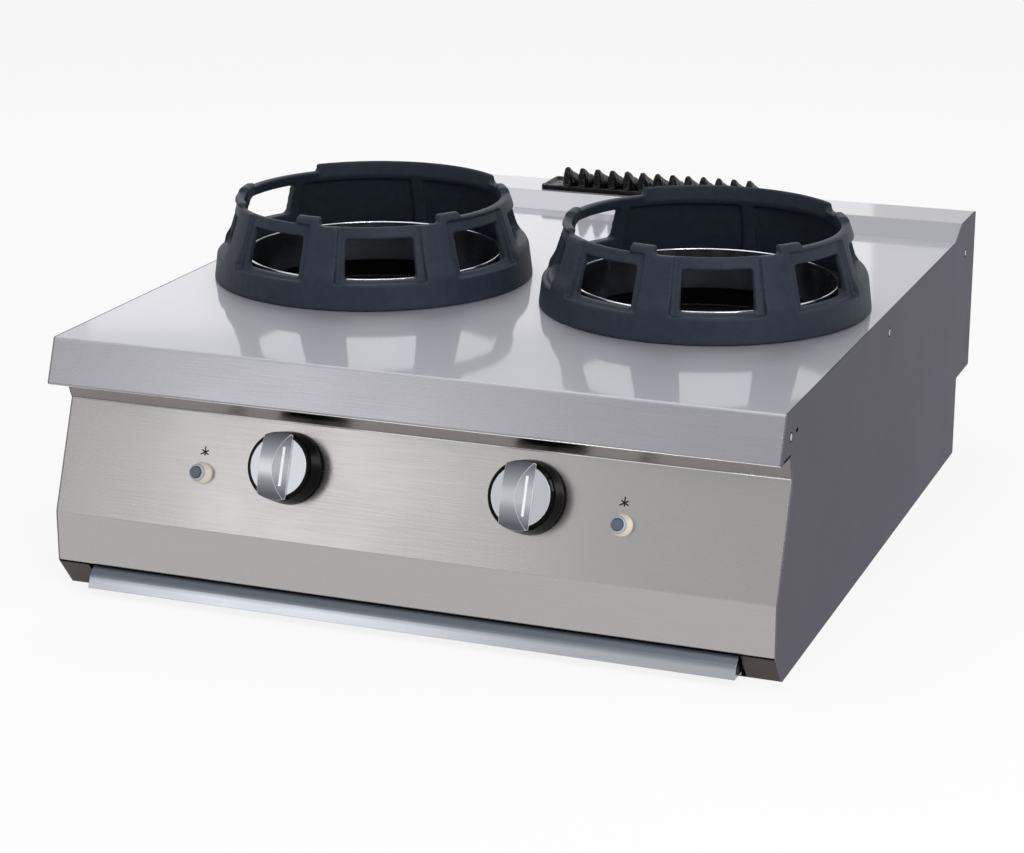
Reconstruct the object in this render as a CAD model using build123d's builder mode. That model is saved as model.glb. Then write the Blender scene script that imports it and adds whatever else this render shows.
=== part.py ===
"""Two-ring countertop wok range, in millimetres.

Frame: +X to the right, +Y to the back, +Z up.  The origin is the middle of the
footprint, on the underside that rests on the bench.
"""
import os
from math import cos, degrees, radians, sin, tan

from build123d import *

os.makedirs("parts", exist_ok=True)

# ---------------------------------------------------------------- sizes: cabinet
depth = 900.0  # from the lip of the worktop to the back
deck_height = 279.0  # worktop surface above the bench
sheet = 1.5  # cabinet steel
deck_sheet = 2.0  # worktop steel
bend = 2.5  # outer bend radius of the folded sheets
lean = 21.0  # degrees from upright of the lip and the control panel
lip_drop = 48.0  # height of the lip
lip_return = 36.0  # how far the lip folds back underneath
panel_top = 204.5  # height of the control panel's upper edge
panel_setback = 47.1  # of that edge, behind the lip
panel_length = 123.6  # down the slope
fascia_drop = 55.6  # upright strip below the control panel
fascia_return = 12.0
skirt_setback = 25.9  # how far the lower front corner is cut back
step_height = 97.5  # pipe space at the back
step_depth = 72.0
upstand_depth = 112.0
upstand_slope = 34.6  # depth of its sloping front
upstand_rise = 16.6
upstand_drop = 48.0  # how far its back hangs down
fixing_inset = 23.0  # of the holes that fix the range to a stand, from its sides
fixing_y = 640.0
fixing_radius = 4.5
air_slot_length = 44.0
air_slot_width = 6.0
air_slot_pitch = 80.0
air_slot_count = 7
air_slot_row = 160.0  # between its rows

# ------------------------------------------------------------- sizes: wok stations
station_setback = 400.0  # middle of the wok rings behind the lip
ring_gap = 32.0  # between the two rings
ring_margin = 16.0  # from a ring to the side of the cabinet
running_gap = 0.3  # between parts that lift, slide or turn
fit = 0.05  # between fixed parts, one inside the other
ring_radius = 184.0  # foot of the cast ring
ring_batter = 4.5  # how far its lower band leans in
ring_band = 36.0  # height of the band
ring_step = 7.5  # from the band in to the foot of the cone
ring_waist_height = 48.0
ring_taper = 13.0  # how far the cone narrows up to the rim
ring_wall = 11.0
ring_foot_wall = 14.3
ring_bend = 16.0  # radius of the bends in its wall
rim_round = 3.0
ring_rim = 88.0  # height of the rim
rail_rim = 92.0  # height of the rim at the sides
lug_top = 97.0
lug_angle = 10.4  # degrees that one wok lug takes
lug_inset = 3.0  # how far the lugs stand inside the rim
lug_bearings = (-84.0, -7.5, 53.0, 117.0)  # degrees from the front, to the right
guard_half_start = 134.0  # bearing where the rear guard begins, either side
guard_top = 101.0
guard_lip = 4.5  # thickness of its top edge
rail_start = 55.0  # bearing where the higher side rim begins
window_bearings = (-67.5, -22.5, 22.5, 67.5)
window_half = 13.5  # half angle of a window
window_corner = 2.5
window_low = 32.0
window_high = 75.0
recess_half = 16.6
recess_depth = 4.0
side_window_bearing = 106.0
side_window_half = 16.0
side_window_low = 42.0
side_window_high = 79.0
rib_width = 15.0  # upright rib inside the back of the ring
blind_start = 127.0  # bearing where the thinned back wall begins
blind_low = 12.0
blind_high = 79.0
blind_depth = 5.0
left_ring_turn = 4.0  # how far each loose ring stands turned
right_ring_turn = -1.0

collar_clearance = 15.7  # from the collar's flange to the ring
collar_wall = 1.2
collar_rise = 27.0
collar_drop = 19.0
collar_flange = 8.0
collar_bead = 1.4
well_margin = 5.0  # how far the well stands outside the collar
well_wall = 1.2
well_shoulder = 40.0  # depth of its upright wall below the worktop
well_floor = 84.0  # depth of its floor
well_floor_radius = 82.0
well_flange = 16.0
neck_radius = 32.0  # burner casting below the well
head_radius = 57.0
head_wall = 5.0
head_foot = 50.0
head_depth = 54.0  # rim of the burner head below the worktop
neck_depth = 134.0
mixer_depth = 108.0  # axis of the mixing tube below the worktop
crown_radius = 59.0
crown_rise = 18.0
crown_slots = 24
crown_slot_width = 2.4
crown_slot_depth = 9.0
crown_eye = 14.0
pilot_circle = 69.0
mixer_bore = 14.0
mixer_wall = 3.0
mixer_mouth = 23.0
mixer_setback = 120.0  # mouth of the mixing tube behind the lip
mixer_throat = 45.0  # from its mouth to its narrowest place
mixer_pinch = 3.0  # how much narrower than its bore that is
mixer_flange = 10.0
jet_size = 18.0  # square jet block
jet_gap = 4.0  # from the tip of the jet to the mixing tube
jet_length = 14.0
jet_radius = 5.0
jet_tip = 4.0
bracket_half = 14.0
rail_width = 30.0
rail_height = 20.0

# -------------------------------------------------------------- sizes: front panel
knob_x = 133.5
button_x = 233.0
knob_height = 160.0  # knob axis where it meets the panel
button_height = 144.7
knob_radius = 36.0
skirt_radius = 38.0
knob_face = 29.0  # rim of the knob in front of the panel
knob_gap = 4.6  # knob clear of the panel, more than its travel
knob_shell = 3.5
knob_edge = 3.0  # radius of its front rim
rim_gap = 0.5  # from the end of the grip to the rim
disc_radius = 31.3
disc_thickness = 1.6
bar_height = 9.0  # top of the arched grip above the disc
bar_end = 1.5  # its height at the knob's rim
bar_left = 18.0
bar_right = 13.0
bar_crest = -3.0  # where its slanted face starts at the top of the arch
stem_radius = 3.95
stem_fit = 0.05  # radial clearance of the turning stem
stem_length_in = 26.0
tap_radius = 13.0
tap_length = 48.0
tap_flange = 17.0
magnet_radius = 9.0
magnet_length = 20.0
pin_radius = 2.0
push_travel = 4.0
stem_length_out = 22.0
stem_flat = 2.0  # from the stem's axis to its flat
hub_radius = 9.0
pin_end = 62.0
pointer_share = 0.58  # of the slanted face, from its crest down to the pointer
pointer_width = 2.2
pointer_length = 40.0
pointer_depth = 0.8
outlet_size = 12.0
outlet_length = 20.0
port_size = 16.0
port_length = 26.0
port_depth = 40.0
manifold_drop = 40.0  # gas pipe below the tap axis, along the panel
pipe_radius = 10.48  # half-inch pipe thread, also the inlet's
pipe_bore = 8.0
pipe_bend = 16.0
inlet_collar = 15.0
inlet_length = 26.0
nut_depth = 8.0
inlet_inset = 40.0  # from the right side
inlet_height = 66.0
pipe_tail = 30.0  # past the left tap
feed_radius = 4.0
feed_rise = 20.0  # straight part above the tap
feed_turn = 40.0  # where it turns to the jet, beside the jet's axis
feed_bend = 7.0
rail_return = 16.0  # of the sheet behind the upper edge of the panel
bezel_radius = 11.6
bezel_rise = 11.5
bezel_lip = 8.3
barrel_radius = 8.8
nut_radius = 13.0
nut_thickness = 4.0
sleeve_radius = 7.3
sleeve_rise = 14.5
barrel_length = 45.0
button_radius = 6.0
button_rise = 18.5
button_tail = 8.0
button_travel = 5.0

# --------------------------------------------------------------- sizes: drip tray
tray_inset = 48.0  # from the side of the cabinet to the tray
tray_setback = 20.0  # behind the lip
tray_back_gap = 38.0  # in front of the step at the back
tray_height = 24.0
tray_sheet = 1.0
tray_floor_gap = 0.3
handle_inset = 39.0  # from the side of the cabinet to the handle
handle_sheet = 1.6
handle_top = 31.0
handle_shelf = 10.5  # from the tray to its front fold
handle_reach = 20.0  # from the tray to its lower fold
handle_fold = 21.0
handle_nose = 24.5  # from the tray to its lower edge
handle_foot = 9.0
handle_bend = 4.5
mouth_gap = 3.0  # at each end of the handle
tray_corner = 6.0
runner_lip = 12.0
runner_gap = 2.0
runner_setback = 45.0  # behind the lip

# -------------------------------------------------------------------- sizes: flue
flue_length = 276.0  # opening in the upstand
flue_width = 46.0
flue_duct_drop = 165.0
grille_side = 17.0  # how far the grille covers the sheet beside the opening
grille_edge = 7.0  # and in front of and behind it
grille_plate = 3.0
grille_lip = 4.0
grille_rim = 6.0
grille_skirt = 10.0
fin_count = 13
fin_pitch = 20.33
fin_base = 13.0
fin_foot_span = 53.0  # front to back
fin_foot_back = 0.6  # middle of its foot behind the middle of the opening
fin_shoulder = 13.5  # height where its back starts to fall steeply
fin_shoulder_width = 12.0
fin_shoulder_span = 40.5
fin_shoulder_back = -4.2
fin_saddle = 21.5  # height of the dip behind its peak
fin_saddle_width = 9.5
fin_saddle_span = 19.0
fin_saddle_back = -14.0
fin_top = 29.0
fin_ridge = 4.5
fin_ridge_span = 6.5
fin_ridge_back = -19.0
duct_wall = 1.0
duct_flange = 10.0

# --------------------------------------------------------------- derived profile
station_x = ring_radius + ring_gap / 2  # each wok ring, either side of the middle
width = 2 * (station_x + ring_radius + ring_margin)  # over the side panels
front = -depth / 2
back = depth / 2
station_y = front + station_setback
ring_shoulder = ring_radius - ring_batter
ring_waist = ring_shoulder - ring_step
ring_mouth = ring_waist - ring_taper
ring_turns = {"left": left_ring_turn, "right": right_ring_turn}
collar_radius = ring_radius - ring_foot_wall - collar_clearance - collar_flange
well_radius = collar_radius + well_margin
mixer_front = front + mixer_setback
tray_width = width - 2 * tray_inset
tray_front = front + tray_setback
handle_half = width / 2 - handle_inset
runner_start = front + runner_setback
inlet_x = width / 2 - inlet_inset
slope = radians(lean)
lip_foot = deck_height - lip_drop
nose_round = bend * ((1 + sin(slope)) / cos(slope) - 1)  # lost at the rounded fold
lip_bottom = (front - nose_round, lip_foot)
lip_top = (lip_bottom[0] + lip_drop * tan(slope), deck_height)
lip_back = (front + lip_return, lip_foot)
panel_head = (front + panel_setback, panel_top)
panel_fold = (
    panel_head[0] - panel_length * sin(slope),
    panel_head[1] - panel_length * cos(slope),
)
fascia_foot = (panel_fold[0], panel_fold[1] - fascia_drop)
skirt_foot = (fascia_foot[0] + skirt_setback, 0.0)
step_foot = (back - step_depth, 0.0)
tray_back = step_foot[0] - tray_back_gap
step_inner = (step_foot[0], step_height)
step_outer = (back, step_height)
upstand_height = deck_height + upstand_rise
upstand_crease = (back - upstand_depth, deck_height)
upstand_front = (upstand_crease[0] + upstand_slope, upstand_height)
upstand_back = (back, upstand_height)
upstand_seam = (back, upstand_height - upstand_drop)
inner_width = width - 2 * sheet
outline = (
    lip_top,
    lip_bottom,
    lip_back,
    panel_head,
    panel_fold,
    fascia_foot,
    skirt_foot,
    step_foot,
    step_inner,
    step_outer,
    upstand_back,
    upstand_front,
    upstand_crease,
)
sides = {"left": -1, "right": 1}


def save(builder, name):
    """Label a finished piece and write it to its own file."""
    builder.part.label = name
    export_step(builder.part, f"parts/{name}.step")


def folded(points, thickness, x=0.0, radius=bend):
    """Section of a folded sheet, across the range: its outer face follows the points."""
    with BuildSketch(Plane.YZ.offset(x)) as section:
        with BuildLine():
            FilletPolyline(*points, radius=radius)
            offset(amount=thickness, side=Side.LEFT)
        make_face()
    return section.sketch


def panel_plane(x, height):
    """Plane on the outside of the control panel: local +Y up the slope, +Z outwards."""
    y = panel_head[0] - (panel_top - height) * tan(slope)
    return Plane(origin=(x, y, height), x_dir=(1, 0, 0), z_dir=(0, -cos(slope), sin(slope)))


def on_panel(x, height, up, out):
    """World position of a point given up the slope and outwards from the panel."""
    return panel_plane(x, height).from_local_coords((0, up, out))


def bearing_plane(x, y, z, bearing):
    """Upright plane through a station's axis: local X outwards along the bearing, Y up."""
    angle = radians(bearing)
    outwards = (sin(angle), -cos(angle), 0)
    normal = (-cos(angle), -sin(angle), 0)
    return Plane(origin=(x, y, z), x_dir=outwards, z_dir=normal)


# ------------------------------------------------------------------------ cabinet
for side, sign in sides.items():
    with BuildPart() as side_panel:
        with BuildSketch(Plane.YZ.offset(sign * width / 2)):
            with BuildLine():
                FilletPolyline(*outline, radius=bend, close=True)
            make_face()
        extrude(amount=-sign * sheet)
    save(side_panel, f"side_panel_{side}")

deck_hole = collar_radius + running_gap
stations = {side: (sign * station_x, station_y) for side, sign in sides.items()}
station_points = list(stations.values())

with BuildPart() as worktop:
    extrude(
        folded((upstand_crease, lip_top, lip_bottom, lip_back), deck_sheet),
        amount=inner_width / 2,
        both=True,
    )
    with Locations(*[(x, y, deck_height) for x, y in station_points]):
        Cylinder(deck_hole, 2 * deck_sheet + 1, mode=Mode.SUBTRACT)
save(worktop, "worktop")

flue_y = (upstand_front[0] + back) / 2
with BuildPart() as upstand:
    extrude(
        folded((upstand_seam, upstand_back, upstand_front, upstand_crease), sheet),
        amount=inner_width / 2,
        both=True,
    )
    with Locations((0, flue_y, upstand_height)):
        Box(flue_length, flue_width, 3 * sheet, mode=Mode.SUBTRACT)
save(upstand, "upstand")

with BuildPart() as back_panel:
    extrude(
        folded((step_foot, step_inner, step_outer, upstand_seam), sheet),
        amount=inner_width / 2,
        both=True,
    )
    with BuildSketch(Plane.XZ.offset(-step_foot[0] - sheet)):
        with Locations((inlet_x, inlet_height)):
            Circle(pipe_radius + running_gap)
    extrude(amount=4 * sheet, mode=Mode.SUBTRACT)
save(back_panel, "back_panel")

tray_mouth = 2 * (handle_half + mouth_gap)
base_front = (fascia_foot[0] + 1.55, fascia_foot[1] - 2.0)
with BuildPart() as base_plate:
    extrude(
        folded((base_front, skirt_foot, (step_foot[0] - sheet, 0.0)), sheet),
        amount=inner_width / 2,
        both=True,
    )
    with BuildSketch(Plane.XZ.offset(-fascia_foot[0] + 1)):
        with Locations((0, sheet + (fascia_foot[1] / 2))):
            Rectangle(tray_mouth, fascia_foot[1])
    extrude(amount=-skirt_setback - 6, mode=Mode.SUBTRACT)
    with BuildSketch():
        with GridLocations(width - 2 * fixing_inset, fixing_y, 2, 2):
            Circle(fixing_radius)
        with GridLocations(air_slot_pitch, air_slot_row, air_slot_count, 4):
            SlotOverall(air_slot_length, air_slot_width)
    extrude(amount=2 * sheet, mode=Mode.SUBTRACT)
save(base_plate, "base_plate")

with BuildPart() as recess_rail:
    extrude(
        folded((lip_back, panel_head, (panel_head[0] + rail_return, panel_head[1])), sheet),
        amount=inner_width / 2,
        both=True,
    )
save(recess_rail, "recess_rail")

with BuildPart() as control_panel:
    extrude(
        folded(
            (panel_head, panel_fold, fascia_foot, (fascia_foot[0] + fascia_return, fascia_foot[1])),
            sheet,
        ),
        amount=inner_width / 2,
        both=True,
    )
    for sign in sides.values():
        with BuildSketch(panel_plane(sign * knob_x, knob_height).offset(1)):
            Circle(stem_radius + 3)
        extrude(amount=-3 * sheet, mode=Mode.SUBTRACT)
        with BuildSketch(panel_plane(sign * button_x, button_height).offset(1)):
            Circle(barrel_radius + running_gap)
        extrude(amount=-3 * sheet, mode=Mode.SUBTRACT)
save(control_panel, "control_panel")

# ---------------------------------------------------------------------- wok rings
deck_plane = Plane.XY.offset(deck_height)


def cone_radius(height):
    """Outside radius of the ring's cone at a height above the worktop."""
    share = (height - ring_waist_height) / (ring_rim - ring_waist_height)
    return ring_waist - ring_taper * share


def turned(center, bearing, half, points):
    """Solid turned about a station's axis from a section of (radius, height) points.

    Heights count from the worktop, and the arc spans half an angle either side of
    its bearing.
    """
    with BuildPart(mode=Mode.PRIVATE) as arc:
        with BuildSketch(bearing_plane(*center, deck_height, bearing - half)):
            with BuildLine():
                Polyline(*points, close=True)
            make_face()
        revolve(axis=Axis((*center, 0), (0, 0, 1)), revolution_arc=2 * half)
    return arc.part


def inner_radius(height):
    """Inside radius of the ring's cone at a height above the worktop."""
    return cone_radius(height) - ring_wall


def window(center, bearing, half, low, high):
    """Cutter for a window with rounded corners through the wall of a ring."""
    with BuildPart(mode=Mode.PRIVATE) as cutter:
        add(
            turned(
                center,
                bearing,
                half,
                ((ring_mouth - 30, low), (ring_radius + 5, low), (ring_radius + 5, high), (ring_mouth - 30, high)),
            )
        )
        corners = cutter.edges().filter_by(GeomType.LINE).filter_by(lambda e: abs(e.tangent_at(0.5).Z) < 0.1)
        fillet(corners, radius=window_corner)
    return cutter.part


ring_outside = (
    (ring_radius, 0),
    (ring_shoulder, ring_band),
    (ring_waist, ring_waist_height),
    (ring_mouth, ring_rim),
)
ring_inside = (
    (ring_mouth - ring_wall, ring_rim),
    (ring_waist - ring_wall, ring_waist_height),
    (ring_radius - ring_foot_wall, 0),
)
lug_section = (
    (inner_radius(ring_rim - 14) + 2, ring_rim - 14),
    (inner_radius(ring_rim - 6) - lug_inset, ring_rim - 6),
    (inner_radius(ring_rim) - lug_inset, lug_top - 2.5),
    (inner_radius(ring_rim) - lug_inset + 2.5, lug_top),
    (cone_radius(lug_top) - 2.5, lug_top),
    (cone_radius(lug_top - 2.5), lug_top - 2.5),
    (cone_radius(ring_rim - 3), ring_rim - 3),
    (cone_radius(ring_rim - 14) - 3, ring_rim - 14),
)
guard_section = (
    (inner_radius(ring_rim - 4), ring_rim - 4),
    (cone_radius(guard_top) - guard_lip, guard_top),
    (cone_radius(guard_top) - 1.5, guard_top),
    (cone_radius(guard_top - 1.5), guard_top - 1.5),
    (cone_radius(ring_rim - 4), ring_rim - 4),
)
rail_section = (
    (inner_radius(ring_rim - 4), ring_rim - 4),
    (inner_radius(rail_rim), rail_rim),
    (cone_radius(rail_rim) - 1.5, rail_rim),
    (cone_radius(rail_rim - 1.5), rail_rim - 1.5),
    (cone_radius(ring_rim - 4), ring_rim - 4),
)
recess_section = (
    (cone_radius(window_low - 3) - recess_depth, window_low - 3),
    (ring_radius + 5, window_low - 3),
    (ring_radius + 5, ring_rim + 1),
    (cone_radius(ring_rim + 1) - recess_depth, ring_rim + 1),
)
blind_section = (
    (inner_radius(blind_low) - 12, blind_low),
    (inner_radius(blind_low) + blind_depth, blind_low),
    (inner_radius(blind_high) + blind_depth, blind_high),
    (inner_radius(blind_high) - 12, blind_high),
)
rib_half = degrees(rib_width / 2 / inner_radius(ring_waist_height))
blind_half = (180 - blind_start - rib_half) / 2
blind_bearing = blind_start + blind_half

for side, (x, y) in stations.items():
    center = (x, y)
    turn = ring_turns[side]
    with BuildPart() as wok_ring:
        with BuildSketch(bearing_plane(x, y, deck_height, turn)) as ring_section:
            with BuildLine():
                FilletPolyline(*ring_outside, radius=ring_bend)
                Polyline(ring_outside[-1], *ring_inside, ring_outside[0])
            make_face()
            fillet(ring_section.vertices().group_by(Axis.Y)[-1], radius=rim_round)
        revolve(axis=Axis((x, y, 0), (0, 0, 1)))
        for bearing in (-1, 1):
            middle = (guard_half_start + rail_start) / 2
            add(turned(center, turn + bearing * middle, (guard_half_start - rail_start) / 2, rail_section))
        add(turned(center, turn + 180, 180 - guard_half_start, guard_section))
        for bearing in lug_bearings:
            add(turned(center, turn + bearing, lug_angle / 2, lug_section))
        for bearing in window_bearings:
            add(turned(center, turn + bearing, recess_half, recess_section), mode=Mode.SUBTRACT)
            add(window(center, turn + bearing, window_half, window_low, window_high), mode=Mode.SUBTRACT)
        for bearing in (-side_window_bearing, side_window_bearing):
            add(
                window(center, turn + bearing, side_window_half, side_window_low, side_window_high),
                mode=Mode.SUBTRACT,
            )
        for bearing in (-blind_bearing, blind_bearing):
            add(turned(center, turn + bearing, blind_half, blind_section), mode=Mode.SUBTRACT)
    save(wok_ring, f"wok_ring_{side}")

# ---------------------------------------------------- collars, wells and burners


def spun(center, points):
    """Whole turned piece on a station's axis, from (radius, height) points."""
    with BuildPart(mode=Mode.PRIVATE) as piece:
        with BuildSketch(bearing_plane(*center, deck_height, 90)):
            with BuildLine():
                Polyline(*points, close=True)
            make_face()
        revolve(axis=Axis((*center, 0), (0, 0, 1)))
    return piece.part


collar_inside = collar_radius - collar_wall
collar_section = (
    (collar_inside, -collar_drop),
    (collar_radius, -collar_drop),
    (collar_radius, 0),
    (collar_radius + collar_flange, 0),
    (collar_radius + collar_flange, collar_wall),
    (collar_radius, collar_wall),
    (collar_radius, collar_rise - collar_bead),
    (collar_radius + collar_bead, collar_rise - collar_bead),
    (collar_radius + collar_bead, collar_rise - 0.4),
    (collar_radius + collar_bead - 0.4, collar_rise),
    (collar_inside, collar_rise),
)
well_inside = well_radius - well_wall
well_section = (
    (well_inside, -deck_sheet - well_wall),
    (well_inside, -well_shoulder),
    (well_floor_radius - well_wall, -well_floor + well_wall),
    (neck_radius + running_gap, -well_floor + well_wall),
    (neck_radius + running_gap, -well_floor),
    (well_floor_radius, -well_floor),
    (well_radius, -well_shoulder - well_wall),
    (well_radius, -deck_sheet - well_wall),
    (well_radius + well_flange, -deck_sheet - well_wall),
    (well_radius + well_flange, -deck_sheet),
    (well_inside, -deck_sheet),
)
seat = -well_floor + well_wall
bowl_foot = seat + 6.0
head_section = (
    (0, -neck_depth),
    (neck_radius, -neck_depth),
    (neck_radius, seat),
    (head_foot, seat),
    (head_foot, bowl_foot),
    (head_radius, -head_depth - 6.0),
    (head_radius, -head_depth),
    (head_radius - head_wall, -head_depth),
    (head_radius - head_wall, -head_depth - 8.0),
    (head_foot - 12.0, bowl_foot),
    (neck_radius - head_wall, bowl_foot - 4.0),
    (neck_radius - head_wall, -neck_depth + head_wall),
    (0, -neck_depth + head_wall),
)
crown_foot = -head_depth
crown_section = (
    (head_radius - head_wall - running_gap, crown_foot - 5.0),
    (head_radius - head_wall - running_gap, crown_foot),
    (crown_radius, crown_foot),
    (crown_radius, crown_foot + crown_rise - 5.0),
    (crown_radius - 5.0, crown_foot + crown_rise - 1.0),
    (crown_radius - 14.0, crown_foot + crown_rise),
    (crown_eye + 4.0, crown_foot + crown_rise - 6.0),
    (crown_eye, crown_foot + crown_rise - 9.0),
    (crown_eye, crown_foot + 2.0),
    (crown_eye + 3.0, crown_foot + 2.0),
    (crown_radius - 14.0, crown_foot + 5.0),
    (head_radius - head_wall - running_gap - 3.0, crown_foot - 5.0),
)
mixer_height = deck_height - mixer_depth
rail_top = deck_height - neck_depth
instruments = {"pilot_burner": -52.0, "thermocouple": -36.0, "spark_electrode": -68.0}
instrument_radius = {"pilot_burner": 4.0, "thermocouple": 2.5, "spark_electrode": 3.5}
instrument_top = {"pilot_burner": -48.0, "thermocouple": -40.0, "spark_electrode": -42.0}


def instrument_spot(center, bearing):
    """Place on the well's floor, beside the burner."""
    angle = radians(bearing)
    return (center[0] + pilot_circle * sin(angle), center[1] - pilot_circle * cos(angle))


for side, center in stations.items():
    with BuildPart() as collar:
        add(spun(center, collar_section))
    save(collar, f"collar_{side}")

    with BuildPart() as well:
        add(spun(center, well_section))
        for item, bearing in instruments.items():
            with Locations((*instrument_spot(center, bearing), deck_height - well_floor)):
                Cylinder(instrument_radius[item] + running_gap, 4 * well_wall, mode=Mode.SUBTRACT)
    save(well, f"well_{side}")

    with BuildPart() as burner_head:
        add(spun(center, head_section))
        with BuildSketch(Plane.XZ.offset(-center[1])):
            with Locations((center[0], mixer_height)):
                Circle(mixer_bore + mixer_flange)
        extrude(amount=neck_radius + 28.0)
        with BuildSketch(Plane.XZ.offset(-center[1])):
            with Locations((center[0], mixer_height)):
                Circle(mixer_bore)
        extrude(amount=neck_radius + 28.0, mode=Mode.SUBTRACT)
        with BuildSketch(Plane((*center, mixer_height))):
            Circle(neck_radius - head_wall)
        extrude(amount=mixer_bore, both=True, mode=Mode.SUBTRACT)
    save(burner_head, f"burner_head_{side}")

    with BuildPart() as burner_crown:
        add(spun(center, crown_section))
        with BuildSketch(Plane.XY.offset(deck_height + crown_foot + 4.0)):
            with Locations(center):
                with PolarLocations(crown_radius - crown_slot_depth / 2, crown_slots):
                    Rectangle(crown_slot_depth + 2.0, crown_slot_width)
        extrude(amount=crown_rise, mode=Mode.SUBTRACT)
    save(burner_crown, f"burner_crown_{side}")

    mixer_back = center[1] - neck_radius - 28.0
    with BuildPart() as mixing_tube:
        with BuildSketch(Plane.YZ.offset(center[0])):
            with BuildLine():
                Polyline(
                    (mixer_back, mixer_height + mixer_bore),
                    (mixer_front + mixer_throat, mixer_height + mixer_bore - mixer_pinch),
                    (mixer_front, mixer_height + mixer_mouth - mixer_wall),
                    (mixer_front, mixer_height + mixer_mouth),
                    (mixer_front + mixer_wall, mixer_height + mixer_mouth),
                    (mixer_front + mixer_throat + mixer_wall, mixer_height + mixer_bore + mixer_wall - mixer_pinch),
                    (mixer_back - 5.0, mixer_height + mixer_bore + mixer_wall),
                    (mixer_back - 5.0, mixer_height + mixer_bore + mixer_flange),
                    (mixer_back, mixer_height + mixer_bore + mixer_flange),
                    close=True,
                )
            make_face()
        revolve(axis=Axis((center[0], 0, mixer_height), (0, 1, 0)))
    save(mixing_tube, f"mixing_tube_{side}")

    for item, bearing in instruments.items():
        spot = instrument_spot(center, bearing)
        floor = deck_height - well_floor + well_wall
        top = deck_height + instrument_top[item]
        with BuildPart() as instrument:
            with BuildSketch(Plane((*spot, floor - 30.0))):
                Circle(instrument_radius[item])
            extrude(amount=top - floor + 30.0)
            with BuildSketch(Plane((*spot, floor))):
                Circle(instrument_radius[item] + 3.0)
            extrude(amount=2.0)
            if item == "spark_electrode":
                with BuildSketch(Plane((*spot, top))):
                    Circle(1.0)
                extrude(amount=7.0)
            elif item == "pilot_burner":
                with BuildSketch(Plane((*spot, top))):
                    Circle(instrument_radius[item] + 2.0)
                extrude(amount=5.0)
        save(instrument, f"{item}_{side}")

# --------------------------------------------------------------- rails under them
rail_y = {"burner_rail": station_y, "jet_rail": mixer_front}
rail_tops = {"burner_rail": rail_top, "jet_rail": rail_top - 34.0}
for name, y in rail_y.items():
    top = rail_tops[name]
    with BuildPart() as rail:
        extrude(
            folded(
                (
                    (y + rail_width / 2, top - rail_height),
                    (y + rail_width / 2, top),
                    (y - rail_width / 2, top),
                    (y - rail_width / 2, top - rail_height),
                ),
                sheet,
            ),
            amount=inner_width / 2,
            both=True,
        )
    save(rail, name)

jet_face = mixer_front - jet_gap - jet_length
for side, center in stations.items():
    sign = sides[side]
    with BuildPart() as jet_bracket:
        extrude(
            folded(
                (
                    (jet_face, mixer_height + 12.0),
                    (jet_face, rail_tops["jet_rail"]),
                    (mixer_front + 10.0, rail_tops["jet_rail"]),
                ),
                sheet,
                center[0],
            ),
            amount=bracket_half,
            both=True,
        )
        with BuildSketch(Plane.XZ.offset(-jet_face + 1)):
            with Locations((center[0], mixer_height)):
                Circle(jet_radius + running_gap)
        extrude(amount=-3 * sheet, mode=Mode.SUBTRACT)
    save(jet_bracket, f"jet_bracket_{side}")

    with BuildPart() as gas_jet:
        with BuildSketch(Plane.XZ.offset(-jet_face)):
            with Locations((center[0], mixer_height)):
                Rectangle(jet_size, jet_size)
        extrude(amount=16.0)
        with BuildSketch(Plane.XZ.offset(-jet_face)):
            with Locations((center[0], mixer_height)):
                Circle(jet_radius)
        extrude(amount=-jet_length + jet_tip)
        with BuildSketch(Plane.XZ.offset(-jet_face - jet_length + jet_tip)):
            with Locations((center[0], mixer_height)):
                Circle(jet_radius)
        extrude(amount=-jet_tip, taper=30)
    save(gas_jet, f"gas_jet_{side}")


# ----------------------------------------------------------------- taps and knobs
port_out = -port_depth

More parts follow.
